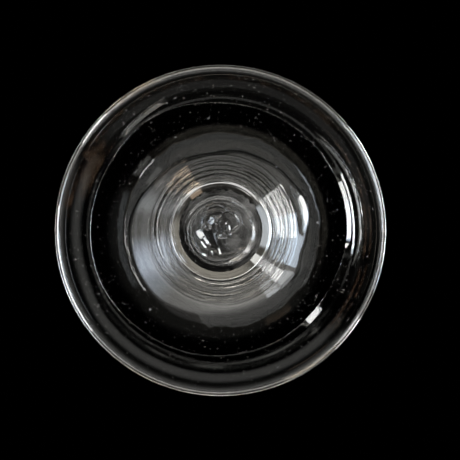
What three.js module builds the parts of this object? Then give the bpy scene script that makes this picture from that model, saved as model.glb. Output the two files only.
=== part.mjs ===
// Wine glass with a folded foot, in the pieces a glassmaker joins hot, one gather on the next:
// blown bowl, merese, knop, drawn stem, base collar, folded foot, and the pontil glass left under it.
// Millimetres, +Z up, origin on the table under the middle of the foot.
import * as THREE from 'three';

// Driving dimensions of the foot, a disc whose edge is folded under itself
const FOOT_RADIUS = 39;
const SHEET_THICKNESS = 2.0;      // upper layer of the folded edge
const FOLD_GAP = 0.35;            // air that stays trapped between the two layers
const FLAP_THICKNESS = 1.5;       // lower layer, the edge that was turned under
const FOLD_WIDTH = 9.0;           // from the outer edge to the free edge of the flap
const SLIT_INSET = 2.4;           // from the outer edge to the closed end of the trapped air
const FLAP_LIFT = 0.15;           // how far the flap's free edge clears the table
const FLAP_LIFT_ANGLE = 9;        // degrees
const LAND_INSET = 6.0;           // from the outer edge to the flat ring that rests on the table
const LAND_WIDTH = 1.4;
const EDGE_LIFT = 0.45;           // the outer edge clears the table too
const EDGE_LIFT_ANGLE = 18;
const FOLD_OFFSET = 1.06;         // the flap's free edge was turned by hand, so it is off centre
const FOLD_OFFSET_AZIMUTH = 229;  // degrees from +X towards +Y
const FOLD_WAVE = 0.28;           // and it waves in and out by this much
const FOLD_WAVE_COUNT = 5;
const KICK_HEIGHT = 8.2;          // the underside rises to here in the middle
const CROWN_RADIUS = 11.7;        // the nearly flat middle ends here
const CROWN_DROP = 0.1;
const STEEP_ANGLE = 36;           // degrees, outside the crown
const KNEE_RADIUS = 20;           // the steep middle turns into the brim here
const KNEE_HEIGHT = 2.55;
const KNEE_ANGLE = 21.5;
const KNEE_THICKNESS = 1.9;
const BRIM_RADIUS = 23.2;         // and the brim is nearly flat from here
const BRIM_HEIGHT = 1.95;
const BRIM_ANGLE = 2;
const BRIM_THICKNESS = 1.85;
const SAG_ANGLE = 4;              // how the upper side dips between the round edge and the knee
const SHOULDER_RADIUS = 11.7;     // the upper side rises to a shoulder over the crown's edge
const SHOULDER_HEIGHT = 10.2;
const SHOULDER_ANGLE = 48;
const THROAT_RADIUS = 9.95;       // straight from the shoulder to the throat, then drawn in to the neck
const THROAT_HEIGHT = 12.5;
const THROAT_ANGLE = 64;
const FOOT_HEIGHT = 20;
const FOOT_NECK_RADIUS = 6.9;
const FOOT_NECK_ANGLE = 72;

// Driving dimensions of the broken glass that the pontil rod left in the middle of the underside
const PONTIL_RADIUS = 9.9;        // ragged outer edge
const PONTIL_MARGIN = 0.4;        // flat seat of the foot beyond the pontil glass
const PONTIL_DEPTH = 2.1;         // deepest splinter below the seat
const SCAR_RADIUS = 7.8;          // ring where the rod broke away
const SCAR_WIDTH = 0.9;
const SCAR_DEPTH = 1.5;
const MOAT_DEPTH = 0.5;           // thin ragged glass between that ring and the outer edge
const MOAT_RAGGED = 0.16;
const MOAT_NOTCHES = 11;
const CHIP_COUNT = 7;             // broken facets round the flat one in the middle
const CHIP_TILT = 15;             // degrees
const CHIP_TILT_SPREAD = 0.4;     // share that a facet's tilt varies by, and how fast from one to the next
const CHIP_TILT_BEAT = 2;
const CHIP_START = 2.4;           // mean distance from the axis at which a facet begins
const CHIP_START_SPREAD = 0.5;
const CHIP_START_BEAT = 3;
const SCOOP_DEPTH = 0.9;          // shell-shaped hollow where a splinter came away
const SCOOP_RADIUS = 3.6;
const SCOOP_PLACE = { x: -3.2, y: 2.4 };

// Driving dimensions of the stem pieces, from the foot up
const COLLAR_RADIUS = 8.8;
const COLLAR_THICKNESS = 3.4;
const DISC_EDGE_SHARE = 0.34;     // radius of a collar's round edge over its thickness
const STEM_LENGTH = 44;
const STEM_FOOT_RADIUS = 5.7;
const STEM_FOOT_ANGLE = 100;      // degrees, how the stem draws in above the collar
const STEM_WAIST_RADIUS = 4.4;
const STEM_WAIST_SHARE = 0.62;    // height of the narrowest place over the stem's length
const STEM_HEAD_RADIUS = 5.0;
const STEM_HEAD_ANGLE = 80;
const KNOP_RADIUS = 9.6;
const KNOP_LENGTH = 14.6;
const KNOP_WIDEST_SHARE = 0.52;   // height of the widest place over the knop's length
const KNOP_START_ANGLE = 40;      // degrees, how the knop swells from the stem
const KNOP_END_ANGLE = 140;
const KNOP_TOP_RADIUS = 5.2;
const MERESE_RADIUS = 9.4;
const MERESE_THICKNESS = 3.0;
const MERESE_TOP_RADIUS = 6.6;

// Driving dimensions of the bowl
const BOWL_HEIGHT = 67;
const BELLY_RADIUS = 31;
const BELLY_RISE = 33;            // height of the widest place above the merese
const MOUTH_RADIUS = 28;
const BELLY_WALL = 1.6;
const BOWL_FLOOR = 6.5;           // solid glass under the inside of the bowl
const LIP_THICKNESS = 1.4;
const MOUTH_LEAN = 9;             // degrees that the wall leans in at the lip
const BOWL_START_ANGLE = 16;      // degrees above level where the bowl leaves the merese

// How finely the round shapes are divided
const SEGMENTS = 48;
const ROUND_STEPS = 4;
const EDGE_STEPS = 8;
const CURVE_STEPS = 5;
const LONG_CURVE_STEPS = 9;
const CHIP_RINGS = 8;
const CHIP_SEGMENTS = 40;

const ROUND_HANDLE = 0.39;        // handle length over chord that makes a quarter turn round
const GOLDEN_ANGLE = Math.PI * (3 - Math.sqrt(5));
const SAME_POINT = 1e-6;

// Heights that follow from the pieces below them
const edgeRadius = (SHEET_THICKNESS + FOLD_GAP + FLAP_THICKNESS - EDGE_LIFT) / 2;
const slitMiddle = FLAP_THICKNESS + FOLD_GAP / 2;
const slitEnd = FOOT_RADIUS - SLIT_INSET;
const landOuter = FOOT_RADIUS - LAND_INSET;
const landInner = landOuter - LAND_WIDTH;
const stemBase = FOOT_HEIGHT + COLLAR_THICKNESS;
const knopBase = stemBase + STEM_LENGTH;
const mereseBase = knopBase + KNOP_LENGTH;
const bowlBase = mereseBase + MERESE_THICKNESS;

const clearGlass = glass(0xe6e8e4, 0.03);
const footGlass = glass(0xdfe2df, 0.05);
const brokenGlass = glass(0xe4e2da, 0.25);

// Colourless glass with a faint grey, as the light comes through it
function glass(color, roughness) {
  return new THREE.MeshStandardMaterial({ color, roughness, metalness: 0, transparent: true, opacity: 0.35 });
}

// A point of an outline: distance from the axis, height
function at(radius, height) {
  return new THREE.Vector2(radius, height);
}

// Unit direction in the outline's plane, degrees above level, pointing away from the axis
function heading(degrees) {
  const angle = THREE.MathUtils.degToRad(degrees);
  return new THREE.Vector2(Math.cos(angle), Math.sin(angle));
}

// Smooth stretch of an outline that leaves start in one direction and arrives at end in another
function flow(start, startAngle, end, endAngle, steps) {
  const reach = start.distanceTo(end) * ROUND_HANDLE;
  const first = start.clone().add(heading(startAngle).multiplyScalar(reach));
  const second = end.clone().sub(heading(endAngle).multiplyScalar(reach));
  return new THREE.CubicBezierCurve(start, first, second, end).getPoints(steps);
}

// Round stretch about a centre, from one direction to another in degrees
function round(centre, radius, fromAngle, toAngle, steps = ROUND_STEPS) {
  const points = [];
  for (let i = 0; i <= steps; i += 1) {
    const angle = fromAngle + (toAngle - fromAngle) * i / steps;
    points.push(centre.clone().add(heading(angle).multiplyScalar(radius)));
  }
  return points;
}

// The stretches end to end, without the points that two of them share
function outline(...stretches) {
  const points = stretches.flat();
  return points.filter((point, i) => i === 0 || point.distanceTo(points[i - 1]) > SAME_POINT);
}

// Solid of revolution about +Z from an outline that runs from the axis, round the outside, to the axis
function turned(points) {
  return new THREE.LatheGeometry(points, SEGMENTS).rotateX(Math.PI / 2);
}

// Rounded disc between two flat joints: the outline bulges from one joint radius to the other
function ringDisc(base, thickness, lowerRadius, upperRadius, discRadius) {
  const top = base + thickness;
  const edge = thickness * DISC_EDGE_SHARE;
  const middle = at(discRadius - edge, base + thickness / 2);
  return outline(
    [at(0, base), at(lowerRadius, base)],
    round(middle, edge, -90, 90),
    [at(upperRadius, top), at(0, top)],
  );
}

// Foot: underside up to the slit, slit, flap, resting ring, round edge, top, neck
function footOutline() {
  const seat = at(PONTIL_RADIUS + PONTIL_MARGIN, KICK_HEIGHT);
  const crown = at(CROWN_RADIUS, KICK_HEIGHT - CROWN_DROP);
  const knee = at(KNEE_RADIUS, KNEE_HEIGHT);
  const brim = at(BRIM_RADIUS, BRIM_HEIGHT);
  const noseRadius = (FLAP_THICKNESS - FLAP_LIFT) / 2;
  const nose = at(FOOT_RADIUS - FOLD_WIDTH + noseRadius, FLAP_LIFT + noseRadius);
  const slitRoot = at(slitEnd, slitMiddle);
  const slitMouth = at(nose.x, slitMiddle + FOLD_GAP / 2);
  const edge = at(FOOT_RADIUS - edgeRadius, EDGE_LIFT + edgeRadius);
  const edgeStart = edge.clone().add(heading(EDGE_LIFT_ANGLE - 90).multiplyScalar(edgeRadius));
  const edgeTop = at(edge.x, edge.y + edgeRadius);
  const upperBrim = at(BRIM_RADIUS, BRIM_HEIGHT + BRIM_THICKNESS);
  const upperKnee = at(KNEE_RADIUS, KNEE_HEIGHT + KNEE_THICKNESS);
  const shoulder = at(SHOULDER_RADIUS, SHOULDER_HEIGHT);
  const throat = at(THROAT_RADIUS, THROAT_HEIGHT);
  const neck = at(FOOT_NECK_RADIUS, FOOT_HEIGHT);
  return outline(
    [at(0, KICK_HEIGHT), seat],
    flow(crown, -STEEP_ANGLE, knee, -KNEE_ANGLE, CURVE_STEPS),
    flow(knee, -KNEE_ANGLE, brim, -BRIM_ANGLE, ROUND_STEPS),
    flow(brim, -BRIM_ANGLE, slitMouth, 0, ROUND_STEPS),
    round(slitRoot, FOLD_GAP / 2, 90, -90),
    round(nose, noseRadius, 90, 270),
    flow(at(nose.x, FLAP_LIFT), -FLAP_LIFT_ANGLE, at(landInner, 0), 0, ROUND_STEPS),
    flow(at(landOuter, 0), 0, edgeStart, EDGE_LIFT_ANGLE, ROUND_STEPS),
    round(edge, edgeRadius, EDGE_LIFT_ANGLE - 90, 90, EDGE_STEPS),
    flow(edgeTop, 180 + SAG_ANGLE, upperBrim, 180 - SAG_ANGLE, CURVE_STEPS),
    flow(upperBrim, 180 - SAG_ANGLE, upperKnee, 180 - KNEE_ANGLE, ROUND_STEPS),
    flow(upperKnee, 180 - KNEE_ANGLE, shoulder, 180 - SHOULDER_ANGLE, CURVE_STEPS),
    flow(throat, 180 - THROAT_ANGLE, neck, 180 - FOOT_NECK_ANGLE, ROUND_STEPS),
    [at(0, FOOT_HEIGHT)],
  );
}

// How far the flap's free edge strays outwards at an angle about the axis
function foldStray(angle) {
  const offset = FOLD_OFFSET * Math.cos(angle - THREE.MathUtils.degToRad(FOLD_OFFSET_AZIMUTH));
  return offset + FOLD_WAVE * Math.sin(FOLD_WAVE_COUNT * angle);
}

// Foot with the hand-turned edge: the flap is slid in or out, most at its free edge, none at the slit's end
function foot() {
  const geometry = turned(footOutline());
  const position = geometry.attributes.position;
  for (let i = 0; i < position.count; i += 1) {
    const x = position.getX(i);
    const y = position.getY(i);
    const radius = Math.hypot(x, y);
    if (position.getZ(i) < slitMiddle && radius < slitEnd) {
      const share = (slitEnd - radius) / (FOLD_WIDTH - SLIT_INSET);
      const scale = 1 + share * foldStray(Math.atan2(y, x)) / radius;
      position.setXY(i, x * scale, y * scale);
    }
  }
  return geometry;
}

// Depth of the facets that broke away round the middle one: flat planes that fall off outwards
function facetDepth(x, y) {
  let depth = PONTIL_DEPTH;
  for (let k = 0; k < CHIP_COUNT; k += 1) {
    const across = x * Math.cos(k * GOLDEN_ANGLE) + y * Math.sin(k * GOLDEN_ANGLE);
    const start = CHIP_START * (1 + CHIP_START_SPREAD * Math.sin(CHIP_START_BEAT * k));
    const tilt = CHIP_TILT * (1 + CHIP_TILT_SPREAD * Math.cos(CHIP_TILT_BEAT * k));
    const slope = Math.tan(THREE.MathUtils.degToRad(tilt));
    depth = Math.min(depth, PONTIL_DEPTH - slope * (across - start));
  }
  return depth;
}

// Depth of the broken surface below the seat: facets and a scoop, the scar ring, a ragged thin edge
function breakDepth(x, y) {
  const radius = Math.hypot(x, y);
  if (radius > SCAR_RADIUS) {
    return MOAT_DEPTH + MOAT_RAGGED * Math.sin(MOAT_NOTCHES * Math.atan2(y, x));
  }
  if (radius > SCAR_RADIUS - SCAR_WIDTH) {
    return SCAR_DEPTH;
  }
  const fromScoop = Math.hypot(x - SCOOP_PLACE.x, y - SCOOP_PLACE.y) / SCOOP_RADIUS;
  const scoop = SCOOP_DEPTH * Math.max(0, 1 - fromScoop * fromScoop);
  return Math.max(MOAT_DEPTH, facetDepth(x, y) - scoop);
}

// Broken glass: flat on top where it is fused to the foot, splintered below
function pontilGlass() {
  const vertices = [];
  const triangles = [];
  const ring = (i) => 2 + i * CHIP_SEGMENTS;
  vertices.push(0, 0, KICK_HEIGHT, 0, 0, KICK_HEIGHT - breakDepth(0, 0));
  for (let i = 0; i <= CHIP_RINGS; i += 1) {
    const radius = PONTIL_RADIUS * Math.min(1, (i + 1) / CHIP_RINGS);
    for (let j = 0; j < CHIP_SEGMENTS; j += 1) {
      const angle = 2 * Math.PI * j / CHIP_SEGMENTS;
      const x = radius * Math.cos(angle);
      const y = radius * Math.sin(angle);
      const depth = i === CHIP_RINGS ? 0 : breakDepth(x, y);
      vertices.push(x, y, KICK_HEIGHT - depth);
    }
  }
  for (let j = 0; j < CHIP_SEGMENTS; j += 1) {
    const next = (j + 1) % CHIP_SEGMENTS;
    triangles.push(1, ring(0) + next, ring(0) + j);
    triangles.push(0, ring(CHIP_RINGS) + j, ring(CHIP_RINGS) + next);
    for (let i = 0; i < CHIP_RINGS; i += 1) {
      triangles.push(ring(i) + j, ring(i) + next, ring(i + 1) + next);
      triangles.push(ring(i) + j, ring(i + 1) + next, ring(i + 1) + j);
    }
  }
  const geometry = new THREE.BufferGeometry();
  geometry.setAttribute('position', new THREE.Float32BufferAttribute(vertices, 3));
  geometry.setIndex(triangles);
  geometry.computeVertexNormals();
  return geometry;
}

// Drawn stem: wide at the foot, narrowest above its middle
function stemOutline() {
  const waist = at(STEM_WAIST_RADIUS, stemBase + STEM_LENGTH * STEM_WAIST_SHARE);
  return outline(
    [at(0, stemBase)],
    flow(at(STEM_FOOT_RADIUS, stemBase), STEM_FOOT_ANGLE, waist, 90, LONG_CURVE_STEPS),
    flow(waist, 90, at(STEM_HEAD_RADIUS, knopBase), STEM_HEAD_ANGLE, CURVE_STEPS),
    [at(0, knopBase)],
  );
}

// Knop: a flattened ball on the stem's head
function knopOutline() {
  const middle = at(KNOP_RADIUS, knopBase + KNOP_LENGTH * KNOP_WIDEST_SHARE);
  return outline(
    [at(0, knopBase)],
    flow(at(STEM_HEAD_RADIUS, knopBase), KNOP_START_ANGLE, middle, 90, CURVE_STEPS),
    flow(middle, 90, at(KNOP_TOP_RADIUS, mereseBase), KNOP_END_ANGLE, CURVE_STEPS),
    [at(0, mereseBase)],
  );
}

// Bowl: outside from the merese to the lip, round lip, inside back down to the floor
function bowlOutline() {
  const lipRadius = LIP_THICKNESS / 2;
  const lip = at(MOUTH_RADIUS - lipRadius, bowlBase + BOWL_HEIGHT - lipRadius);
  const wallAngle = 90 + MOUTH_LEAN;
  const lipOutside = lip.clone().add(heading(wallAngle - 90).multiplyScalar(lipRadius));
  const lipInside = lip.clone().add(heading(wallAngle + 90).multiplyScalar(lipRadius));
  const belly = at(BELLY_RADIUS, bowlBase + BELLY_RISE);
  const innerBelly = at(BELLY_RADIUS - BELLY_WALL, belly.y);
  return outline(
    [at(0, bowlBase)],
    flow(at(MERESE_TOP_RADIUS, bowlBase), BOWL_START_ANGLE, belly, 90, LONG_CURVE_STEPS),
    flow(belly, 90, lipOutside, wallAngle, CURVE_STEPS),
    round(lip, lipRadius, wallAngle - 90, wallAngle + 90),
    flow(lipInside, wallAngle + 180, innerBelly, 270, CURVE_STEPS),
    flow(innerBelly, 270, at(0, bowlBase + BOWL_FLOOR), 180, LONG_CURVE_STEPS),
  );
}

const collarOutline = ringDisc(
  FOOT_HEIGHT, COLLAR_THICKNESS, FOOT_NECK_RADIUS, STEM_FOOT_RADIUS, COLLAR_RADIUS);
const mereseOutline = ringDisc(
  mereseBase, MERESE_THICKNESS, KNOP_TOP_RADIUS, MERESE_TOP_RADIUS, MERESE_RADIUS);

const pieces = [
  ['pontil_glass', pontilGlass(), brokenGlass],
  ['foot', foot(), footGlass],
  ['foot_collar', turned(collarOutline), clearGlass],
  ['stem', turned(stemOutline()), clearGlass],
  ['knop', turned(knopOutline()), clearGlass],
  ['bowl_merese', turned(mereseOutline), clearGlass],
  ['bowl', turned(bowlOutline()), clearGlass],
];

const wineGlass = new THREE.Group();
for (const [name, geometry, material] of pieces) {
  const mesh = new THREE.Mesh(geometry, material);
  mesh.name = name;
  wineGlass.add(mesh);
}

export default wineGlass;
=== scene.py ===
# %% [markdown]
# # A hand-blown wine glass, seen from below
#
# The photograph looks straight up at the foot of a clear glass against black. A glassmaker spins the
# foot out into a disc, folds its edge under while it is hot, and later knocks the glass off the iron
# rod that held it, which leaves a broken scar in the middle. Clear glass has no colour of its own, so
# what the eye gets is the shape of each surface and what that surface mirrors or bends. This script
# therefore spends its effort on the outlines, and on a dark studio with a few bright windows.
#
# The measured model is loaded first. Every piece below takes the place of one of its solids.

# %% Load the measured model
import math

import bpy
import numpy as np
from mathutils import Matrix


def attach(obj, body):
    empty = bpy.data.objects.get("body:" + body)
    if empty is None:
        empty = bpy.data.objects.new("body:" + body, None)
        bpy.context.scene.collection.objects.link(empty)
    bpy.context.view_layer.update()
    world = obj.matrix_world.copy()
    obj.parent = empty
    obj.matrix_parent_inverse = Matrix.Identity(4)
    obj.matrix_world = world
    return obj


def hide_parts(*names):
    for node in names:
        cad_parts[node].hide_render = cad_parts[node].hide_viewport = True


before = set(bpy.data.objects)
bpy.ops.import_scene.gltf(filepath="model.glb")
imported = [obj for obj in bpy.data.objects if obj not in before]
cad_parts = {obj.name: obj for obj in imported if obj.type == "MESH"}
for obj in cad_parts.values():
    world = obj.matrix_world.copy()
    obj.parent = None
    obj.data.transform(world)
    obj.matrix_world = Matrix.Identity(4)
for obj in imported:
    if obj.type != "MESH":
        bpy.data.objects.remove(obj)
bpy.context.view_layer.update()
print("solids:", ", ".join(sorted(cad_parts)))

# %% [markdown]
# ## The camera
#
# The foot's outline is a circle in the photograph, so the camera stands on the axis of the glass, a
# little to one side, and looks straight up. The circle's radius in pixels and in millimetres gives the
# scale. Image right is +X and image down is +Y.

# %% Camera under the foot
MM = 0.001
PHOTO_SIZE = 460                  # pixels, the photograph is square
PHOTO_MIDDLE = 229.5              # pixel index of its centre
FOOT_MIDDLE = (219.92, 229.90)    # pixel where the axis of the glass meets it
FOOT_EDGE = 165.53                # pixels, radius of the foot's outline
FOOT_RADIUS = 39.0                # mm
EDGE_HEIGHT = 2.0                 # mm, height at which the foot is widest
CAMERA_DROP = 750.0               # mm below the table
SENSOR = 36.0

pixel = FOOT_RADIUS / FOOT_EDGE
half_width = PHOTO_SIZE / 2 * pixel
camera_data = bpy.data.cameras.new("camera")
camera_data.sensor_width = SENSOR
camera_data.lens = SENSOR / 2 * (CAMERA_DROP + EDGE_HEIGHT) / half_width
camera = bpy.data.objects.new("camera", camera_data)
camera.location = (
    (PHOTO_MIDDLE - FOOT_MIDDLE[0]) * pixel * MM,
    (PHOTO_MIDDLE - FOOT_MIDDLE[1]) * pixel * MM,
    -CAMERA_DROP * MM,
)
camera.rotation_euler = (math.pi, 0, 0)
scene = bpy.context.scene
scene.collection.objects.link(camera)
scene.camera = camera
print(f"{pixel:.4f} mm a pixel, lens {camera_data.lens:.0f} mm")

# %% [markdown]
# ## Outlines as complex numbers
#
# Every piece is turned about the axis, so its shape is an outline carried round a circle. A point of
# an outline is one complex number: its distance from the axis plus its height times 1j. Then a
# direction is `exp(1j * angle)` and a curve is a line or two. A value may also be an array with one
# entry for each angle round the axis, which lets the hand-made parts wander.

# %% Curves of an outline
COLUMNS = 300                     # places round the axis
turn = np.arange(COLUMNS) * 2 * np.pi / COLUMNS


def aim(degrees):
    """Unit step in a direction of the outline's plane: cos + 1j sin of degrees above level."""
    return np.exp(1j * np.radians(degrees))


def bend(start, start_angle, end, end_angle, rows):
    """Cubic curve from start to end, leaving and arriving at the given angles, handles 0.39 of chord."""
    reach = 0.39 * np.abs(end - start)
    first = start + reach * aim(start_angle)
    second = end - reach * aim(end_angle)
    t = np.linspace(0, 1, rows)[:, None]
    return (
        (1 - t) ** 3 * start + 3 * (1 - t) ** 2 * t * first
        + 3 * (1 - t) * t ** 2 * second + t ** 3 * end)


def arc(middle, radius, start_angle, end_angle, rows):
    """Circle stretch: middle + radius times the direction, as it turns from one angle to the other."""
    return middle + radius * aim(np.linspace(start_angle, end_angle, rows)[:, None])


def straight(start, end, rows):
    """Straight stretch: start + t (end - start)."""
    t = np.linspace(0, 1, rows)[:, None]
    return start + t * (end - start)


def crease(place, before, after):
    """Three rows 0.06 mm apart, so that the slope changes there and not over a whole face."""
    return np.array([place - 0.06 * aim(before), place, place + 0.06 * aim(after)]).reshape(3, -1)


def joined(*stretches):
    """The stretches one after another, one column for each angle, without the rows that repeat."""
    rows = np.concatenate([np.broadcast_to(s, (len(s), COLUMNS)) for s in stretches])
    step = np.abs(np.diff(rows, axis=0)).max(axis=1)
    return rows[np.r_[True, step > 1e-6]]


def through(places):
    """Value at every angle through (degrees, value) places, eased between them by a half cosine."""
    angle, value = np.array(sorted(places), float).T
    angle = np.r_[angle[-1] - 360, angle, angle[0] + 360]
    value = np.r_[value[-1], value, value[0]]
    degrees = np.degrees(turn)
    left = np.searchsorted(angle, degrees, side="right") - 1
    share = (degrees - angle[left]) / (angle[left + 1] - angle[left])
    return value[left] + (1 - np.cos(np.pi * share)) / 2 * (value[left + 1] - value[left])


def wander(seed, size, waves=5):
    """Slow wobble round the axis: cosines of 1 to so many waves a turn, each smaller, random phases."""
    phase = np.random.default_rng(seed).uniform(0, 2 * np.pi, waves)
    wave = np.arange(1, waves + 1)[:, None]
    return size * (np.cos(wave * turn + phase[:, None]) / wave).sum(axis=0)


print("columns:", COLUMNS)

# %% [markdown]
# ## From an outline to a closed skin
#
# The first and last rows of an outline lie on the axis, so they become one point each and the grid
# between them is wrapped round. The faces run so that their normals point outwards, which matters
# here: glass bends light by which side of a face it meets.

# %% Skins and seeds


def skin_parts(outline):
    """Vertices and faces of an outline turned about the axis: x + 1j y = radius times cos + 1j sin."""
    rows, columns = outline.shape
    flat = outline.real * np.exp(1j * np.arange(columns) * 2 * np.pi / columns)
    grid = np.stack([flat.real, flat.imag, outline.imag], axis=-1)
    points = np.concatenate([grid[0].mean(0)[None], grid[1:-1].reshape(-1, 3), grid[-1].mean(0)[None]])
    ring = 1 + np.arange((rows - 2) * columns).reshape(rows - 2, columns)
    after = np.roll(ring, -1, axis=1)
    quads = np.stack([ring[:-1], after[:-1], after[1:], ring[1:]], axis=-1).reshape(-1, 4)
    last = len(points) - 1
    start_fan = np.stack([np.zeros(columns, int), after[0], ring[0]], axis=-1)
    end_fan = np.stack([np.full(columns, last), ring[-1], after[-1]], axis=-1)
    return points, quads, np.concatenate([start_fan, end_fan])


def seed_parts(centres, radii, stretch):
    """Tiny bubbles: a ball for each centre, drawn out round the axis, its faces turned inwards."""
    around, along = 8, 5
    lean, spin = np.meshgrid(np.pi * np.arange(1, along) / along, 2 * np.pi * np.arange(around) / around)
    ball = np.stack([np.sin(lean) * np.cos(spin), np.sin(lean) * np.sin(spin), np.cos(lean)], axis=-1)
    ball = np.concatenate([ball.transpose(1, 0, 2).reshape(-1, 3), [[0, 0, 1], [0, 0, -1]]])
    outward = centres[:, :2] / np.linalg.norm(centres[:, :2], axis=1)[:, None]
    aside = np.stack([-outward[:, 1], outward[:, 0]], axis=-1)
    flat = ball[None, :, 0, None] * outward[:, None] + stretch * ball[None, :, 1, None] * aside[:, None]
    tall = np.broadcast_to(ball[None, :, 2, None] * 0.7, (len(centres), len(ball), 1))
    points = centres[:, None] + radii[:, None, None] * np.concatenate([flat, tall], axis=-1)
    ring = np.arange((along - 1) * around).reshape(along - 1, around)
    after = np.roll(ring, -1, axis=1)
    quads = np.stack([ring[:-1], after[:-1], after[1:], ring[1:]], axis=-1).reshape(-1, 4)
    top = np.stack([np.full(around, len(ball) - 2), after[0], ring[0]], axis=-1)
    bottom = np.stack([np.full(around, len(ball) - 1), ring[-1], after[-1]], axis=-1)
    fans = np.concatenate([top, bottom])
    jump = np.arange(len(centres))[:, None, None] * len(ball)
    return points.reshape(-1, 3), (quads[None] + jump).reshape(-1, 4), (fans[None] + jump).reshape(-1, 3)


def mesh_object(name, parts, material, node, sharp=40):
    """One object from parts in millimetres; edges steeper than sharp degrees stay crisp."""
    points, quads, fans, start = [], [], [], 0
    for part_points, part_quads, part_fans in parts:
        points.append(part_points)
        quads.append(part_quads + start)
        fans.append(part_fans + start)
        start += len(part_points)
    points, quads, fans = (np.concatenate(p) for p in (points, quads, fans))
    corners = np.concatenate([quads.ravel(), fans.ravel()])
    sizes = np.r_[np.full(len(quads), 4), np.full(len(fans), 3)]
    mesh = bpy.data.meshes.new(name)
    mesh.vertices.add(len(points))
    mesh.vertices.foreach_set("co", (points * MM).ravel())
    mesh.loops.add(len(corners))
    mesh.loops.foreach_set("vertex_index", corners)
    mesh.polygons.add(len(sizes))
    mesh.polygons.foreach_set("loop_start", np.r_[0, np.cumsum(sizes)[:-1]])
    mesh.update(calc_edges=True)
    mesh.validate()
    mesh.shade_smooth()
    mesh.set_sharp_from_angle(angle=math.radians(sharp))
    piece = bpy.data.objects.new(name, mesh)
    scene.collection.objects.link(piece)
    mesh.materials.append(material)
    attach(piece, "root")
    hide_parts(node)
    print(f"{name}: {2 * len(quads) + len(fans)} triangles")


# %% [markdown]
# ## Shader maths as plain expressions
#
# A finish is a small calculation over the surface. Wrapping a node's output in a class whose + - * /
# add Math nodes lets that calculation be read as a formula. Anything that isn't plain arithmetic comes
# from one method that adds a node, sets it up and fills its sockets.

# %% Signal: a node's output that does arithmetic


class Signal:
    """One output of a node. Arithmetic with numbers and other signals adds Math nodes."""

    def __init__(self, tree, socket=None):
        self.tree = tree
        self.socket = socket

    def node(self, kind, settings=(), inputs=(), output=0):
        """Add a node: its settings, then values or signals for its sockets; gives one of its outputs."""
        made = self.tree.nodes.new(kind)
        for name, value in dict(settings).items():
            if name == "stops":
                ramp = made.color_ramp.elements
                while len(ramp) < len(value):
                    ramp.new(1)
                for element, (position, color) in zip(ramp, value):
                    element.position = position
                    element.color = (*color, 1)
            else:
                setattr(made, name, value)
        for name, value in dict(inputs).items():
            if isinstance(value, Signal):
                self.tree.links.new(value.socket, made.inputs[name])
            else:
                made.inputs[name].default_value = value
        return Signal(self.tree, made.outputs[output] if made.outputs else None)

    def math(self, operation, *values):
        return self.node("ShaderNodeMath", {"operation": operation}, dict(enumerate(values)))

    def __add__(self, other):
        return self.math("ADD", self, other)

    def __sub__(self, other):
        return self.math("SUBTRACT", self, other)

    def __rsub__(self, other):
        return self.math("SUBTRACT", other, self)

    def __mul__(self, other):
        return self.math("MULTIPLY", self, other)

    def __truediv__(self, other):
        return self.math("DIVIDE", self, other)

    def __pow__(self, other):
        return self.math("POWER", self, other)

    __radd__ = __add__
    __rmul__ = __mul__

    def rise(self, low, high):
        """Smooth step: 0 below low, 1 above high."""
        return self.node(
            "ShaderNodeMapRange", {"interpolation_type": "SMOOTHSTEP"},
            {"Value": self, "From Min": low, "From Max": high})

    def band(self, low, high, soft):
        """1 between low and high, fading to 0 over soft outside each."""
        return self.rise(low - soft, low) * (1 - self.rise(high, high + soft))

    def noise(self, scale, detail=2.0, stretch=(1, 1, 1)):
        """Value of a noise texture about 0.5; a stretch of more than 1 makes it finer along that axis."""
        placed = self.node("ShaderNodeMapping", (), {"Vector": self, "Scale": stretch})
        return self.node("ShaderNodeTexNoise", (), {"Vector": placed, "Scale": scale, "Detail": detail})

    def mixed(self, first, second):
        """Colour between two colours, this signal being the share of the second."""
        return self.node(
            "ShaderNodeMix", {"data_type": "RGBA"}, {"Factor": self, 6: first, 7: second}, 2)

    def tinted(self, color):
        """This value times a colour."""
        return self.node(
            "ShaderNodeVectorMath", {"operation": "SCALE"}, {"Vector": color, "Scale": self})

    def plus_color(self, other):
        return self.node("ShaderNodeVectorMath", {"operation": "ADD"}, {0: self, 1: other})


def polar_signals(start, vector):
    """Distance from the z axis, angle about it in degrees from -180 to 180, and height, of a vector."""
    parts = {axis: start.node("ShaderNodeSeparateXYZ", (), {"Vector": vector}, axis) for axis in "XYZ"}
    x, y = parts["X"], parts["Y"]
    return (x * x + y * y) ** 0.5, start.math("ARCTAN2", y, x) * (180 / math.pi), parts["Z"]
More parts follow.
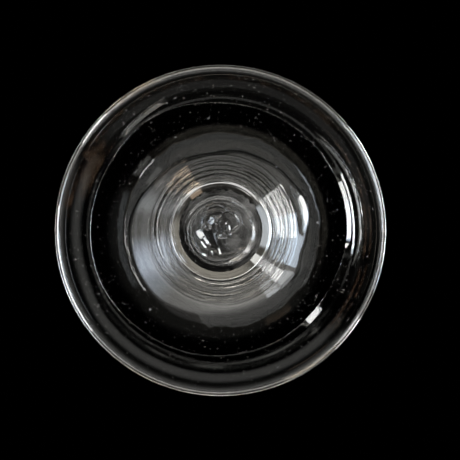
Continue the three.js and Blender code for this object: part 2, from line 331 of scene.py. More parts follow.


# %% [markdown]
# ## The studio
#
# The glass stands on a plain pale floor in soft light, with black overhead. What clear glass shows is
# mostly what it mirrors and bends, so that is set as a photographer would: a ring of light
# low down round the sides, one strong window on the left, a softer one on the right and some small
# ones. The world holds this set, and every ray that comes out of the glass sees it. Camera rays and
# diffuse rays see plain light instead, so that no window stands in the background.
#
# The floor has one side: any ray that meets it from below goes through, because the photograph is taken
# from under it. Round the foot it has a port, which is floor for camera rays only, so that the set's
# light reaches the underside of the foot. The set and its light are the same for every camera.

# %% World and floor
DARK_RING = (                     # polar angle from straight down over 180, colour of the set there
    (0.0, (0.0, 0.0, 0.0)),
    (26 / 180, (0.01, 0.01, 0.01)),
    (40 / 180, (0.17, 0.165, 0.155)),
    (52 / 180, (0.6, 0.59, 0.56)),
    (62 / 180, (0.85, 0.83, 0.78)),
    (70 / 180, (0.15, 0.145, 0.13)),
    (75 / 180, (0.18, 0.175, 0.16)),
    (78 / 180, (2.1, 2.0, 1.8)),
    (85 / 180, (2.1, 1.95, 1.7)),
    (89 / 180, (0.25, 0.23, 0.2)),
    (92 / 180, (0.05, 0.047, 0.04)),
    (106 / 180, (0.04, 0.037, 0.033)),
    (112 / 180, (0.0, 0.0, 0.0)),
)
BRIGHT_SIDE = 272.0               # azimuth where the ring of light is strongest
SIDE_SHARE = 0.75
# azimuth, half width, soft side, lowest and highest polar angle, soft, colour
WINDOWS = (
    (165.5, 22.5, 1.5, 67, 88, 2, (16.0, 16.0, 15.8)),
    (184, 14, 4.0, 58, 72, 3, (6.0, 7.1, 8.4)),
    (168, 11, 2.0, 43, 48, 2, (5.0, 5.8, 6.6)),
    (337, 8, 16.0, 70, 88, 4, (3.4, 3.8, 4.4)),
    (26, 2, 13.0, 70, 88, 4, (1.2, 1.25, 1.3)),
    (341, 2, 16.0, 50, 68, 4, (1.7, 1.95, 2.4)),
    (330, 3, 26.0, 50, 68, 4, (0.9, 1.1, 1.4)),
    (31, 2, 14.0, 50, 68, 4, (1.0, 1.05, 1.1)),
    (56, 8, 4.0, 79, 86, 2, (7.6, 5.8, 4.0)),
    (56, 7, 3.0, 91, 103, 2, (0.24, 0.18, 0.13)),
    (174, 24, 6.0, 94, 103, 3, (0.4, 0.43, 0.46)),
    (219, 5, 2.0, 94, 103, 3, (0.7, 0.7, 0.68)),
    (59, 9, 3.0, 43, 50, 3, (1.8, 1.5, 1.2)),
    (219, 6, 1.0, 70, 88, 3, (15.0, 15.0, 15.0)),
    (217, 5, 2.0, 48, 66, 4, (2.4, 2.5, 2.6)),
    (230, 5, 2.0, 53, 58, 2, (5.0, 5.3, 5.6)),
    (305, 60, 20.0, 95, 103, 3, (0.155, 0.144, 0.122)),
    (122, 74, 14.0, 20, 24, 12, (0.6, 0.6, 0.57)),
    (300, 80, 12.0, 6, 10, 4, (0.045, 0.044, 0.04)),
    (290, 66, 14.0, 17, 29, 6, (0.2, 0.195, 0.185)),
    (285, 50, 20.0, 58, 62, 3, (0.62, 0.6, 0.56)),
)
OVERHEAD = (95.0, 105.0)          # polar angles over which the background turns from pale to black
FLOOR_DROP = 0.0002               # metres below the table's level, so that the glass isn't cut by it
FLOOR_SIZE = 3.0
FLOOR_SIDES = 96
FLOOR_COLOR = (0.72, 0.72, 0.71, 1)
PORT_SIZE = 0.12                  # metres, radius of the port round the foot
PORT_SOFT = 0.05

world = bpy.data.worlds.new("studio")
world.use_nodes = True
world.node_tree.nodes.clear()
scene.world = world
start = Signal(world.node_tree)
direction = start.node("ShaderNodeTexCoord", output="Generated")
_, azimuth, up = polar_signals(start, direction)
below = start.math("ARCCOSINE", -1.0 * up) * (180 / math.pi)
ring = start.node("ShaderNodeValToRGB", {"stops": DARK_RING}, {"Fac": below / 180})
side = start.math("COSINE", (azimuth - BRIGHT_SIDE) * (math.pi / 180)) * SIDE_SHARE + 1
light = side.tinted(ring)
for middle, half, soft_side, low, high, soft, color in WINDOWS:
    offset = start.math("PINGPONG", azimuth - middle + 360.0, 180.0)
    shine = (1 - offset.rise(half, half + soft_side)) * below.band(low, high, soft)
    light = light.plus_color(shine.tinted(color))
path = {name: start.node("ShaderNodeLightPath", output=name) for name in (
    "Is Camera Ray", "Is Glossy Ray", "Is Transmission Ray")}
in_glass = start.math("MAXIMUM", path["Is Glossy Ray"], path["Is Transmission Ray"])
overhead = path["Is Camera Ray"] * below.rise(*OVERHEAD)
pale = up.rise(-0.3, 1.0).mixed((0.55, 0.55, 0.54, 1), (1.0, 1.0, 1.0, 1))
plain = overhead.mixed(pale, (0.0, 0.0, 0.0, 1))
start.node("ShaderNodeOutputWorld", (), {
    "Surface": start.node("ShaderNodeBackground", (), {"Color": in_glass.mixed(plain, light)})})

floor_material = bpy.data.materials.new("floor")
floor_material.use_nodes = True
floor_material.node_tree.nodes.clear()
start = Signal(floor_material.node_tree)
backfacing = start.node("ShaderNodeNewGeometry", output="Backfacing")
seen = start.node("ShaderNodeLightPath", output="Is Camera Ray")
place = start.node("ShaderNodeTexCoord", output="Object")
over_port = 1 - polar_signals(start, place)[0].rise(PORT_SIZE, PORT_SIZE + PORT_SOFT)
hidden = start.math("MAXIMUM", over_port * (1 - seen), backfacing)
paint = start.node("ShaderNodeBsdfDiffuse", (), {"Color": FLOOR_COLOR})
clear = start.node("ShaderNodeBsdfTransparent")
start.node("ShaderNodeOutputMaterial", (), {
    "Surface": start.node("ShaderNodeMixShader", (), {"Fac": hidden, 1: paint, 2: clear})})
rim = FLOOR_SIZE * np.exp(2j * np.pi * np.arange(FLOOR_SIDES) / FLOOR_SIDES)
floor_mesh = bpy.data.meshes.new("floor")
floor_mesh.from_pydata(
    np.column_stack([rim.real, rim.imag, np.full(FLOOR_SIDES, -FLOOR_DROP)]), [], [range(FLOOR_SIDES)])
floor_mesh.materials.append(floor_material)
floor = bpy.data.objects.new("floor", floor_mesh)
scene.collection.objects.link(floor)
scene.view_settings.view_transform = "Standard"
scene.cycles.max_bounces = 32
scene.cycles.transmission_bounces = 32
scene.cycles.glossy_bounces = 8
scene.cycles.transparent_max_bounces = 16
print("windows:", len(WINDOWS))

# %% [markdown]
# ## Glass finishes
#
# Old glass is nearly colourless. What gives it life is that it is never quite flat: the fire leaves
# soft waves, the tools leave fine rings, and dust and wear gather where it is handled. So each finish
# has a tint that drifts a little, a roughness that is nothing except where the glass is worn, and a
# faint bump in waves. Dust specks are dull glass, mixed in by small masks. So are a painted brown
# reflection in bands along the fold of the foot, and painted soft light as pale dull patches on the
# top and right of the scar, over a faint dullness of the whole scar. Where two pieces were joined hot
# there is no surface left between them, so on those flat faces the light goes straight on. All of it
# reads object coordinates in metres.

# %% Three finishes of glass
GLASS_BEND = 1.56                 # how strongly this glass bends light
DUST_COLOR = (0.7, 0.69, 0.66, 1)
DUST_SHARE = 0.24
# Painted brown reflection: dark brown dull glass laid in bands along the fold of the foot
BROWN_REFLECTION_COLOR = (0.1, 0.062, 0.04, 1)
BROWN_REFLECTION_BANDS = (                          # angle, half width, nearest and farthest pixels from the axis, how much
    (206, 8, 136, 157, 0.26), (192, 2.5, 151, 158, 0.4), (0, 40, 144.5, 145.5, 0.25),
    (10, 30, 149.5, 150.5, 0.18), (262, 55, 151, 156, 0.08),
)
# Pale dull glass on the scar: painted soft light on its top and right sides, and a faint dullness all over
PALE_MATTE_COLOR = (0.6, 0.59, 0.57, 1)
JOINT_REACH = 0.04                # mm to both sides of a fused face


def glass_material(name, joints, tint, drift, roughness, wave_height, wave_scale, rings=0.0):
    """Clear glass: tint from slow noise, roughness from fine noise, bump from waves, joints clear."""
    material = bpy.data.materials.new(name)
    material.use_nodes = True
    material.node_tree.nodes.clear()
    start = Signal(material.node_tree)
    place = start.node("ShaderNodeTexCoord", output="Object")
    radius, angle, height = polar_signals(start, place)
    cloud = place.noise(60.0, 3.0)
    color = cloud.rise(0.35, 0.7).mixed((*tint, 1), (*drift, 1))
    worn = place.noise(900.0, 2.0).rise(0.55, 0.8)
    waves = place.noise(wave_scale, 2.0) * wave_height
    if rings:
        waves = waves + place.noise(1400.0, 1.0, (0.02, 0.02, 1.0)) * rings
    bump = start.node("ShaderNodeBump", (), {"Height": waves, "Distance": 1.0, "Strength": 1.0})
    surface = start.node("ShaderNodeBsdfPrincipled", (), {
        "Base Color": color, "Roughness": worn * roughness, "IOR": GLASS_BEND,
        "Transmission Weight": 1.0, "Normal": bump})

    def dulled(surface, share, color):
        """The surface with a share of dull glass of a colour."""
        dull = start.node("ShaderNodeBsdfDiffuse", (), {"Color": color})
        return start.node("ShaderNodeMixShader", (), {"Fac": share, 1: surface, 2: dull})

    specks = place.noise(2100.0, 0.0).rise(0.815, 0.83) * DUST_SHARE
    surface = dulled(surface, specks, DUST_COLOR)
    if name == "foot_glass":
        # painted brown reflection: dark brown dull glass in bands along the fold, broken up by noise
        brown_reflection = 0.0
        for middle, half, near, far, much in BROWN_REFLECTION_BANDS:
            offset = start.math("PINGPONG", angle - middle + 360.0, 180.0)
            out = (radius / (pixel * MM)).band(near, far, 1.2)
            brown_reflection = (1 - offset.rise(half, half + 6.0)) * out * much + brown_reflection
        brown_reflection = place.noise(350.0, 3.0).rise(0.4, 0.65) * brown_reflection
        surface = dulled(surface, brown_reflection, BROWN_REFLECTION_COLOR)
    if name == "broken_glass":
        out = radius / (pixel * MM)
        top_side = 1 - start.math("PINGPONG", angle - 263.0 + 360.0, 180.0).rise(60.0, 85.0)
        near_side = 1 - start.math("PINGPONG", angle - 8.0 + 360.0, 180.0).rise(35.0, 70.0)
        # painted soft light: pale dull patches on the scar's top side and right side, plus 0.015 of
        # dullness everywhere
        painted_light_and_matte = out.rise(28.0, 33.0) * top_side * 0.2 + out.band(15.0, 41.0, 4.0) * near_side * 0.4
        painted_light_and_matte = place.noise(260.0, 2.0).rise(0.2, 0.75) * painted_light_and_matte + 0.015
        surface = dulled(surface, painted_light_and_matte, PALE_MATTE_COLOR)
    fused = 0.0
    for level, reach in joints:
        at_level = height.band((level - JOINT_REACH) * MM, (level + JOINT_REACH) * MM, 0.005 * MM)
        fused = at_level * (1 - radius.rise(reach * MM, (reach + 0.05) * MM)) + fused
    straight_on = start.node("ShaderNodeBsdfRefraction", (), {"IOR": 1.0})
    surface = start.node("ShaderNodeMixShader", (), {"Fac": fused, 1: surface, 2: straight_on})
    start.node("ShaderNodeOutputMaterial", (), {"Surface": surface})
    return material


# height and reach in mm of the fused faces
STEM_JOINTS = ((20.0, 20.0), (23.4, 20.0), (67.4, 20.0), (82.0, 20.0), (85.0, 20.0))
FOOT_JOINTS = ((8.2, 9.15), (20.0, 20.0))
clear_glass = glass_material(
    "clear_glass", STEM_JOINTS, (0.985, 0.985, 0.975), (0.965, 0.97, 0.955), 0.02, 0.00006, 120.0,
    rings=0.000002)
foot_glass = glass_material(
    "foot_glass", FOOT_JOINTS, (0.985, 0.985, 0.975), (0.965, 0.968, 0.95), 0.03, 0.00003, 160.0)
broken_glass = glass_material(
    "broken_glass", FOOT_JOINTS, (0.98, 0.97, 0.94), (0.95, 0.935, 0.89), 0.12, 0.00002, 700.0)
print("finishes: 3")

# %% [markdown]
# ## The foot's underside
#
# From the scar outwards the underside falls steeply, turns at a knee, and runs out nearly flat to the
# fold. The light it mirrors depends on its slope, so the slope is what is drawn here, and the height
# follows by adding the slope up from the fold inwards. The knee isn't round: the disc sagged a little
# as it was spun, and on the right it has a shelf and a lens-shaped swell beside it. Tool rings are
# small changes of the same slope, wound slightly as a spiral.

# %% Slope of the underside
SEAT_RADIUS = 10.3                # mm, where the broken middle starts
KICK_HEIGHT = 8.2
FLAP = 1.5                        # thickness of the layer that was folded under
GAP = 0.35                        # air between the layers at the fold's mouth
FILM = 0.05                       # air where the layers all but touch
SLIT_MIDDLE = FLAP + GAP / 2
MOUTH_TOP = SLIT_MIDDLE + FILM / 2
RINGS_END = 18.6
KNEE_END = 23.4
NOSE = 0.06                       # radius of the flap's rounded lower corner
RING_ROWS = 92
KNEE_ROWS = 30
BRIM_ROWS = 14

# degrees round, half width, pixels from the axis at both sides, extra slope
SWELLS = (
    (-13, 12, 84, 92, 7.0), (-13, 13, 78, 83.5, -20.0), (10, 12, 66, 79, 2.0),
    (38, 9, 70, 84, 3.0), (-27, 8, 75, 84, -5.0), (0, 14, 61, 65, -4.0),
)
knee_radius = through((
    (30, 20.9), (75, 20.6), (134, 22.1), (175, 21.6), (230, 19.1), (262, 18.5), (290, 19.4),
    (320, 20.3), (345, 21.5), (3, 20.5), (15, 20.0)))
knee_width = through((
    (10, 1.2), (60, 4.6), (90, 4.6), (112, 3.4), (134, 1.0), (200, 0.9), (250, 0.6), (300, 0.9),
    (340, 0.8)))
fold_edge = through((
    (36, 28.96), (75, 29.3), (115, 29.78), (165, 30.7), (207, 30.4), (239, 31.0), (275, 29.9),
    (310, 29.8), (350, 29.9)))
fold_mouth = fold_edge + NOSE     # middle of that rounding


def smooth(x):
    """Smooth step from 0 to 1: x x (3 - 2 x), with x held between 0 and 1."""
    x = np.clip(x, 0, 1)
    return x * x * (3 - 2 * x)


def tool_rings(radius, seed=7):
    """What the tool rings add to the slope's tangent: fine waves of the radius that wind round."""
    rng = np.random.default_rng(seed)
    total = np.zeros_like(radius)
    for pitch in (0.42, 0.5, 0.6, 0.73, 0.9, 1.15):
        wind = rng.integers(-2, 3)
        swell = 1 + 0.8 * np.cos(rng.integers(1, 4) * turn + rng.uniform(0, 6) + 0.8 * radius)
        total += swell * np.sin(2 * np.pi * radius / pitch + wind * turn + rng.uniform(0, 6))
    strength = through((
        (40, 0.3), (95, 0.4), (160, 0.3), (205, 0.26), (236, 0.14), (275, 0.24), (318, 0.26),
        (345, 0.2), (10, 0.22)))
    fade_in = 0.13 + 0.87 * smooth((radius - 11.6) / 0.5)
    fade_out = 1 - smooth((radius - 15.0) / 3.5)
    return total * strength * fade_in * fade_out


radius = joined(
    straight(SEAT_RADIUS, RINGS_END, RING_ROWS), straight(RINGS_END, KNEE_END, KNEE_ROWS),
    straight(KNEE_END, fold_mouth, BRIM_ROWS))
along = (radius - SEAT_RADIUS) / (knee_radius - SEAT_RADIUS)
crisp = np.interp(
    along, (0.0, 0.125, 0.135, 0.24, 0.45, 0.75, 1.0), (2.0, 4.0, 36.0, 37.0, 34.0, 30.0, 27.0))
gentle = np.interp(along, (0.0, 0.04, 0.26, 0.45, 0.75, 1.0), (2.0, 6.0, 38.0, 34.0, 30.0, 27.0))
far_side = smooth(-0.3 - 1.6 * np.sin(turn))
steep = crisp * (1 - far_side) + gentle * far_side
brim_way = (radius - knee_radius) / (fold_mouth - knee_radius)
level = through(((20, 6.0), (200, 6.0), (240, 2.5), (335, 2.5))) * (1 - smooth(brim_way))
past_knee = smooth((radius - knee_radius) / knee_width + 0.5)
swells = 0
for degrees, half, inner, outer, extra in SWELLS:
    away = (np.degrees(turn) - degrees + 180) % 360 - 180
    middle_out = (radius / pixel - (inner + outer) / 2) / ((outer - inner) / 2)
    swells = swells + extra * np.exp(-(away / half) ** 4 - middle_out ** 4)
calm = steep + (level - steep) * past_knee + swells


def heights(slope, extra):
    """Height over the table: tangent plus extra added up from the fold inwards, stretched to the seat."""
    fall = np.tan(np.radians(slope)) + extra
    steps = np.diff(radius, axis=0) * (fall[1:] + fall[:-1]) / 2
    rise = np.concatenate([np.cumsum(steps[::-1], axis=0)[::-1], np.zeros((1, COLUMNS))])
    climb = KICK_HEIGHT - MOUTH_TOP
    print(f"heights stretched {climb / rise[0].max():.2f} to {climb / rise[0].min():.2f}")
    return MOUTH_TOP + rise / rise[0] * climb


under = radius + 1j * heights(calm, tool_rings(radius))
calm_under = radius + 1j * heights(calm, 0)
print(f"knee at {knee_radius.min():.1f} to {knee_radius.max():.1f} mm from the axis")

# %% [markdown]
# ## The fold
#
# The edge was turned under and pressed down while soft. It sticks in most places and leaves air in
# others, as flat bubbles that lie along the fold. So the slit between the layers is a film that swells
# to a blunt cone, up and down, at each flat bubble. Two fat bubbles press down into the flap with two
# plain slopes. Small bevels, a step beside the resting ring and a notch in the rim catch the light.

# %% Slit, flap, resting ring and round edge
SLIT_END = 36.6
SLIT_ROWS = 23
SLIT_DENSE = 34.0
SLIT_FAR_ROWS = 4
BUBBLES = (                       # degrees at both ends, pixels from the axis at both sides, height in mm
    (41, 51, 134.5, 139, 0.2), (52, 78, 129.5, 135, 0.1), (84, 106, 131.5, 138, 0.13),
    (108, 126, 133.5, 138.5, 0.1), (262, 276, 131, 136, 0.08),
)
# degrees at both ends, middle, tilt and bow of its line and width in pixels, slope
FAT_BUBBLES = (
    (314, 376, 140.4, 1.8, -4.5, 4.4, 19.2), (224, 247, 138.2, 2.7, 0.0, 5.0, 21.0),
)
RIDGE = 0.78                      # share of its width where a fat bubble is deepest
BEVELS = ((334, 369, 0.95), (36.5, 49.5, 1.4))    # degrees at both ends, width in mm
BEVEL_SLOPE = 37.0
NOTCH = (320.6, 0.8, 0.3)         # degrees of its middle and half width, depth in mm
LEDGE = (330, 374, 0.3, 36.0)     # degrees at both ends, height in mm and slope of the step beside the land
LAND_INNER = 31.6
EDGE_ROUND = 1.7
EDGE_MIDDLE = 37.3 + 2.15j
EDGE_START = -72.0
FLAP_LIFT = 0.08
FLAP_SLOPE = 8.0
OUTER_ROWS = 23
OUTER_SLOPE = (                   # share of the way from the land to the round edge, slope in degrees
    (0.0, 0.0), (0.1, 5.0), (0.24, 10.0), (0.38, 11.5), (0.48, 9.0), (0.6, 5.0), (0.72, 4.0),
    (0.86, 7.0), (1.0, 18.0),
)


def air(radius):
    """Thickness of the slit: a film, and a blunt cone, 1 - root of x x + y y, of each bubble's height."""
    swelling = np.zeros_like(radius)
    for first, last, inner, outer, height in BUBBLES:
        away = (np.degrees(turn) - (first + last) / 2 + 180) % 360 - 180
        length = away / ((last - first) / 2)
        width = (radius / pixel - (inner + outer) / 2) / ((outer - inner) / 2)
        swelling = np.maximum(swelling, height * (1 - np.sqrt(length ** 2 + width ** 2 + 0.02)))
    return FILM + swelling


def lasting(first, last):
    """1 between two angles, easing to 0 over the outer quarter at both ends."""
    away = (np.degrees(turn) - (first + last) / 2 + 180) % 360 - 180
    return 1 - smooth((np.abs(away) / ((last - first) / 2) - 0.75) / 0.25)


def belly(radius):
    """How far the fat bubbles press into the flap: a slope down outwards to the ridge, then back up."""
    pressed = np.zeros_like(radius)
    for first, last, middle, tilt, bow, width, slope in FAT_BUBBLES:
        away = (np.degrees(turn) - (first + last) / 2 + 180) % 360 - 180
        length = away / ((last - first) / 2)
        across = (radius / pixel - middle - tilt * length - bow * length ** 2) / width + 0.5
        deepest = RIDGE * width * pixel * math.tan(math.radians(slope))
        roof = np.minimum(across / RIDGE, (1 - across) / (1 - RIDGE))
        roof = np.minimum(roof, 4 * (1 - np.abs(length)))
        pressed = np.maximum(pressed, deepest * roof)
    return pressed


slit_end = SLIT_END + wander(3, 0.12)
slit_radius = joined(
    straight(fold_mouth, SLIT_DENSE, SLIT_ROWS), straight(SLIT_DENSE + 0 * turn, slit_end, SLIT_FAR_ROWS))
gap_now = air(slit_radius)
slit_top = slit_radius + 1j * (SLIT_MIDDLE + gap_now / 2)
slit_bottom = (slit_radius + 1j * (SLIT_MIDDLE - gap_now / 2 - belly(slit_radius)))[::-1]
slit_bottom[-1] += fold_edge - fold_mouth
root = arc(slit_end + 1j * SLIT_MIDDLE, FILM / 2, 90, -90, 3)
bevel = sum(width * lasting(first, last) for first, last, width in BEVELS)
step = LEDGE[2] * lasting(*LEDGE[:2])
lift = FLAP_LIFT + step
rounding = arc(fold_mouth + bevel + 1j * (lift + NOSE), NOSE, BEVEL_SLOPE * -1 - 90, -90, 3)
drop = (rounding[0].real - fold_edge) * math.tan(math.radians(BEVEL_SLOPE))
corner = fold_edge + 1j * (rounding[0].imag + drop)
nose = joined(
    (corner + 0.06j)[None], corner + np.array([[0.0], [0.12], [0.88]]) * (rounding[0] - corner),
    rounding)
ledge_slope = FLAP_SLOPE + (LEDGE[3] - FLAP_SLOPE) * lasting(*LEDGE[:2])
ledge_end = LAND_INNER + wander(5, 0.1) + 0j
ledge_start = ledge_end - lift / np.tan(np.radians(ledge_slope)) + 1j * lift
flap = joined(
    straight(nose[-1], ledge_start, 3)[:2], crease(ledge_start, 0.0, -ledge_slope),
    crease(ledge_end, -ledge_slope, 0.0))
land_outer = through(((20, 33.0), (140, 33.0), (165, 31.9), (195, 31.9), (225, 32.8)))
land = straight(flap[-1], land_outer + 0j, 4)
edge = arc(EDGE_MIDDLE + 0 * turn, EDGE_ROUND, EDGE_START, 90, 20)
notch = NOTCH[2] * np.exp(-((np.degrees(turn) - NOTCH[0]) / NOTCH[1]) ** 2)
edge = edge - notch * smooth((edge.real - edge[0].real) / 0.5)
share, outer_slope = np.array(OUTER_SLOPE).T
way = np.linspace(0, 1, OUTER_ROWS)[:, None]
climb = np.tan(np.radians(np.interp(way, share, outer_slope)))
height = np.concatenate([[[0]], np.cumsum((climb[1:] + climb[:-1]) / 2, axis=0)])
outer = land[-1] + way * (edge[0].real - land[-1].real) + 1j * height / height[-1] * edge[0].imag
print("bubbles in the fold:", len(BUBBLES))

# %% [markdown]
# ## The foot's upper side, and its seeds
#
# The top follows the underside at the thickness of the sheet, without the tool rings, and rises to the
# neck under the stem. Seeds are tiny bubbles that never left the melt. Each is a small ball of air, so
# its faces point inwards: seen from the glass, that is the outside.

# %% Foot
NECK = 6.9 + 20.0j
SHOULDER = 11.7 + 10.2j
THROAT = 9.95 + 12.48j
TOP_STARTS = 33                   # row of the underside from which the top follows it
OVERLAP = 0.02                    # mm that joined pieces reach into each other
SEEDS = (                         # pixels of the photograph
    (175, 137), (205, 140), (238, 148), (252, 80), (283, 124), (294, 135), (276, 166), (313, 145),
    (337, 209), (372, 209), (317, 222), (366, 256), (345, 266), (314, 276), (304, 280), (290, 283),
    (316, 295), (338, 323), (277, 366), (150, 309), (154, 293), (99, 283), (76, 259), (114, 228),
    (126, 236), (135, 172), (140, 166), (148, 165), (129, 183), (208, 118), (267, 109), (213, 86),
)

sheet = np.interp(radius, (13.0, 16.0, 20.0, 31.0), (1.72, 1.8, 1.9, 1.85))
picked = np.r_[np.arange(len(radius) - 1, RING_ROWS, -1), np.arange(RING_ROWS, TOP_STARTS, -4)]
over = (calm_under + 1j * sheet)[picked]
top = joined(
    bend(edge[-1], 180.0, over[0], 180.0, 9),
    over,
    bend(over[-1], 143.0, SHOULDER, 127.5, 7),
    crease(THROAT, 127.5, 116.0),
    bend(THROAT, 116.0, NECK, 108.0, 8)[1:],
    straight(NECK + 0j, 0.0 + 1j * NECK.imag, 3),
)
seat = straight(0.0 + 1j * KICK_HEIGHT, SEAT_RADIUS + 1j * KICK_HEIGHT, 5)
foot_outline = joined(seat, under, slit_top, root, slit_bottom, nose, flap, land, outer, edge, top)

rng = np.random.default_rng(21)
seed_flat = (np.array(SEEDS) - np.array(FOOT_MIDDLE)) * pixel
seed_radius = np.hypot(*seed_flat.T)
column = (np.arctan2(seed_flat[:, 1], seed_flat[:, 0]) % (2 * np.pi) / (2 * np.pi) * COLUMNS).astype(int)
seed_low = np.array([np.interp(r, under[:, c].real, under[:, c].imag) for r, c in zip(seed_radius, column)])
seed_height = seed_low + rng.uniform(0.6, 1.2, len(SEEDS))
seed_centres = np.column_stack([seed_flat, seed_height])
seeds = seed_parts(seed_centres, rng.uniform(0.10, 0.2, len(SEEDS)), 1.5)
mesh_object("folded_foot", (skin_parts(foot_outline), seeds), foot_glass, "foot")

# %% [markdown]
# ## The pontil scar
#
# The rod was tipped with a little hot glass. When the finished foot is knocked off, that glass snaps:
# round the outside a thin ragged crust, then a ring where it broke away, and in the middle splinters,
# small flat chips, curled ridges and one smooth shell-shaped break. The depth below the seat is worked
# out as one height field of x and y.

# %% Broken glass
SCAR_MIDDLE = 0.19 + 0.62j        # mm, x + 1j y
SCAR_RADIUS = 7.5                 # of the ring where the glass broke away
CRUST_RADIUS = 9.75
BREAK_ROWS = 130
SPLINTERS = (                     # crest in pixels, its height, then the direction and slope of each face
    ((206, 226), 0.5, ((176, 36), (122, 40), (224, 38), (8, 30), (300, 38), (62, 44))),
    ((214, 218), 0.55, ((186, 36), (262, 46), (25, 34), (112, 41))),
    ((222, 236), 0.4, ((160, 38), (325, 52), (84, 36), (250, 48))),
    ((214, 252), 0.35, ((168, 38), (350, 50), (92, 36), (272, 55))),
)
CHIPS = (                         # middle, half length, half width in pixels, turn, direction, slope
    ((199.5, 233.5), 5.0, 3.4, 60, 165, 34.4), ((206, 241), 5.4, 1.5, 52, 168, 34.2),
    ((202.5, 244), 4.6, 1.3, 58, 172, 34.6), ((228.5, 230), 5.2, 2.0, 78, 166, 34.5),
    ((219, 251), 3.6, 1.1, 70, 168, 34.3), ((211, 220), 3.8, 2.6, 115, 184, 31.5),
    ((203, 254), 3.0, 1.2, 20, 170, 34.0),
)
CHIP_HEIGHT = 0.5                 # mm above the crust at a chip's middle
# middle in pixels, radius and height in mm of the smooth shell-shaped break
DOME = (232, 232, 4.6, 0.9)
CURLS = (                         # middle and radius in pixels, first and last angle, width, height in mm
    ((228, 221), 10.5, -125, 85, 0.3, 0.45), ((226, 222), 14.0, -100, 20, 0.24, 0.25),
    ((216, 222), 16.5, -128, -62, 0.28, 0.35), ((215, 223), 13.0, 160, 225, 0.28, 0.4),
)


def on_scar(pixels):
    """Place on the scar of a pixel of the photograph: mm to the right plus 1j times mm down."""
    return complex(*(np.array(pixels) - FOOT_MIDDLE)) * pixel


def along_facing(out, facing):
    """How far a step out goes in a direction of so many degrees: real part of out times exp(-1j angle)."""
    return (out * np.exp(-1j * math.radians(facing))).real


def broken_depth(place):
    """Depth below the seat: crust + ring + dome + splinters cut by tilted planes + chips + curls."""
    from_scar = place - SCAR_MIDDLE
    away = np.abs(from_scar)
    angle = np.angle(from_scar)
    rng = np.random.default_rng(12)
    crust = 0.4 + sum(
        0.014 / k ** 0.5 * np.cos(k * 3 * angle + rng.uniform(0, 6) + 2 * rng.uniform(0.3, 1) * away)
        for k in range(1, 7))
    upper = smooth(-0.3 - 1.4 * np.sin(angle + 0.35))
    crust = crust + 0.05 * upper * np.cos(2 * np.pi * (away - 8.0) / 1.9 + np.cos(angle))
    inner_width = 0.32 + 0.75 * ((1 + np.cos(angle - 0.62)) / 2) ** 5
    crest = (
        SCAR_RADIUS + 0.45 * (inner_width - 0.32) + 0.33 * np.cos(2 * angle)
        + 0.05 * np.cos(3 * angle + 1) + 0.03 * np.cos(7 * angle))
    outside = np.clip((away - crest) / 0.22, 0, 1)
    inside = np.clip((crest - away) / inner_width, 0, 1)
    ring = (0.78 * inner_width - 0.165) * (1 - smooth(outside)) * (1 - inside) * (1 - 0.75 * upper)
    rough = np.zeros(place.shape)
    dome = DOME[3] * np.clip(1 - (np.abs(place - on_scar(DOME[:2])) / DOME[2]) ** 2, 0, 1)
    for crest_pixels, height, faces in SPLINTERS:
        out = place - on_scar(crest_pixels)
        planes = [
            height - math.tan(math.radians(slope)) * (along_facing(out, facing) - rng.uniform(0.1, 0.6))
            for facing, slope in faces]
        rough = np.maximum(rough, np.minimum.reduce(planes + [np.full(place.shape, height)]))
    rough = rough + dome
    for chip_pixels, half_length, half_width, turned, facing, slope in CHIPS:
        out = place - on_scar(chip_pixels)
        lined_up = out * np.exp(-1j * math.radians(turned)) / pixel
        edge_out = np.maximum(np.abs(lined_up.real) / half_length, np.abs(lined_up.imag) / half_width)
        face = CHIP_HEIGHT - math.tan(math.radians(slope)) * along_facing(out, facing)
        share = 1 - smooth((edge_out - 0.9) / 0.2)
        rough = rough * (1 - share) + face * share
    for curl_pixels, curl_radius, first, last, width, height in CURLS:
        out = place - on_scar(curl_pixels)
        turned = (np.degrees(np.angle(out)) - (first + last) / 2 + 180) % 360 - 180
        reach = 1 - smooth((np.abs(turned) - (last - first) / 2 + 12) / 12)
        rough += height * reach * np.exp(-((np.abs(out) - curl_radius * pixel) / width) ** 2)
    within = 1 - smooth((away - crest + inner_width) / 0.7)
    return np.maximum(0.12, crust + ring + rough * within)


crust_edge = (
    CRUST_RADIUS + wander(31, 0.1) + 0.26 * np.sin(23 * turn) * np.cos(5 * turn)
    + 0.16 * np.sin(37 * turn + 1))
flat_radius = straight(0.0, crust_edge, BREAK_ROWS)
place = flat_radius * np.exp(1j * turn)
depth = broken_depth(place)
broken = flat_radius + 1j * (KICK_HEIGHT - depth)
broken[0] = broken[0].mean()
pontil_top = straight(crust_edge + 1j * (KICK_HEIGHT + OVERLAP), 1j * (KICK_HEIGHT + OVERLAP), 4)
scar_parts = skin_parts(joined(broken, pontil_top))
mesh_object("broken_pontil", (scar_parts,), broken_glass, "pontil_glass", sharp=24)

# %% [markdown]
# ## Collar, stem, knop and merese
#
# These are small gathers of hot glass, each dropped on the last and shaped by turning. A hot joint has
# no gap, so each piece reaches a hair into the one below it: a ray then leaves and enters in the same
# direction, and the joint stays clear.

# %% Stem pieces
COLLAR_RADIUS, COLLAR_TOP = 8.8, 23.4
STEM_FOOT, STEM_WAIST, STEM_HEAD, STEM_TOP = 5.7, 4.4, 5.0, 67.4
WAIST_HEIGHT, KNOP_HEIGHT = 50.7, 75.0
KNOP_RADIUS, KNOP_TOP_RADIUS, KNOP_TOP = 9.6, 5.2, 82.0
MERESE_RADIUS, MERESE_TOP_RADIUS, BOWL_BASE = 9.4, 6.6, 85.0


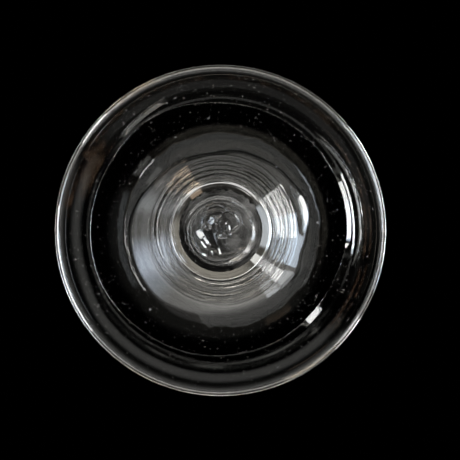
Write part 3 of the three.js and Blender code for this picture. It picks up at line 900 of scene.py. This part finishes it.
def disc_outline(low, high, low_radius, high_radius, disc_radius):
    """Pressed disc of glass: flat joints, an edge that is a half circle of 0.34 of the thickness."""
    edge_radius = 0.34 * (high - low)
    middle = disc_radius - edge_radius + wander(int(low), 0.05) + 1j * (low + high) / 2
    edge = arc(middle, edge_radius, -90, 90, 15)
    return joined(
        straight(1j * low, low_radius + 1j * low, 3),
        bend(low_radius + 1j * low, 20.0, edge[0], 0.0, 8),
        edge,
        bend(edge[-1], 180.0, high_radius + 1j * high, 160.0, 8),
        straight(high_radius + 1j * high, 1j * high, 3),
    )


stem_waist = STEM_WAIST + wander(41, 0.05) + 1j * WAIST_HEIGHT
stem_outline = joined(
    straight(1j * (COLLAR_TOP - OVERLAP), STEM_FOOT + 1j * (COLLAR_TOP - OVERLAP), 3),
    bend(STEM_FOOT + 1j * (COLLAR_TOP - OVERLAP), 100.0, stem_waist, 90.0, 50),
    bend(stem_waist, 90.0, STEM_HEAD + 1j * STEM_TOP, 80.0, 32),
    straight(STEM_HEAD + 1j * STEM_TOP, 1j * STEM_TOP, 3),
)
knop_middle = KNOP_RADIUS - 0.1 + wander(43, 0.05) + 1j * KNOP_HEIGHT
knop_outline = joined(
    straight(1j * (STEM_TOP - OVERLAP), STEM_HEAD + 1j * (STEM_TOP - OVERLAP), 3),
    bend(STEM_HEAD + 1j * (STEM_TOP - OVERLAP), 40.0, knop_middle, 90.0, 34),
    bend(knop_middle, 90.0, KNOP_TOP_RADIUS + 1j * KNOP_TOP, 140.0, 34),
    straight(KNOP_TOP_RADIUS + 1j * KNOP_TOP, 1j * KNOP_TOP, 3),
)
collar_outline = disc_outline(NECK.imag - OVERLAP, COLLAR_TOP, NECK.real, STEM_FOOT, COLLAR_RADIUS)
merese_outline = disc_outline(
    KNOP_TOP - OVERLAP, BOWL_BASE, KNOP_TOP_RADIUS, MERESE_TOP_RADIUS, MERESE_RADIUS)
stem_seeds = np.array([(1.9, 0.6, 31.0), (-1.2, 1.4, 44.5), (0.8, -2.0, 58.0)])
knop_seeds = np.array([(3.2, 2.0, 73.0), (-2.6, 3.1, 77.0), (1.0, -4.2, 75.5), (-4.0, -1.5, 72.0)])
mesh_object("base_collar", (skin_parts(collar_outline),), clear_glass, "foot_collar")
mesh_object(
    "drawn_stem", (skin_parts(stem_outline), seed_parts(stem_seeds, np.full(3, 0.2), 1.0)),
    clear_glass, "stem")
mesh_object(
    "pressed_knop", (skin_parts(knop_outline), seed_parts(knop_seeds, np.full(4, 0.22), 1.2)),
    clear_glass, "knop")
mesh_object("top_merese", (skin_parts(merese_outline),), clear_glass, "bowl_merese")

# %% [markdown]
# ## The bowl
#
# Blown and then turned open: solid at the bottom, thin at the belly, a little closed at the mouth, with
# a lip that the fire has rounded. Its wall is a touch uneven, as every blown wall is.

# %% Bowl
BOWL_TOP = 152.0
BELLY = 31.0
MOUTH = 28.0
WALL = 1.6
FLOOR_GLASS = 6.5
LIP = 0.7
BELLY_HEIGHT = 33.0               # mm above the bowl's base
BOWL_SEEDS = 40

lip_middle = MOUTH - LIP + 1j * (BOWL_TOP - LIP)
belly = BELLY - 0.12 + wander(51, 0.05) + 1j * (BOWL_BASE + BELLY_HEIGHT)
inner_belly = belly - WALL + wander(53, 0.08)
lip = arc(lip_middle + 0 * turn, LIP, 9, 189, 13)
bowl_outline = joined(
    straight(1j * (BOWL_BASE - OVERLAP), MERESE_TOP_RADIUS + 1j * (BOWL_BASE - OVERLAP), 3),
    bend(MERESE_TOP_RADIUS + 1j * (BOWL_BASE - OVERLAP), 16.0, belly, 90.0, 60),
    bend(belly, 90.0, lip[0], 99.0, 36),
    lip,
    bend(lip[-1], 279.0, inner_belly, 270.0, 30),
    bend(inner_belly, 270.0, 1j * (BOWL_BASE + FLOOR_GLASS), 180.0, 56),
)
rng = np.random.default_rng(57)
spin = rng.uniform(0, 2 * np.pi, BOWL_SEEDS)
high = rng.uniform(20, 60, BOWL_SEEDS)
outer_at = np.interp(BOWL_BASE + high, bowl_outline[3:98, 0].imag, bowl_outline[3:98, 0].real)
seed_at = (outer_at - 0.8) * np.exp(1j * spin)
bowl_seeds = np.column_stack([seed_at.real, seed_at.imag, BOWL_BASE + high])
seeds = seed_parts(bowl_seeds, rng.uniform(0.08, 0.16, BOWL_SEEDS), 2.0)
mesh_object("blown_bowl", (skin_parts(bowl_outline), seeds), clear_glass, "bowl")
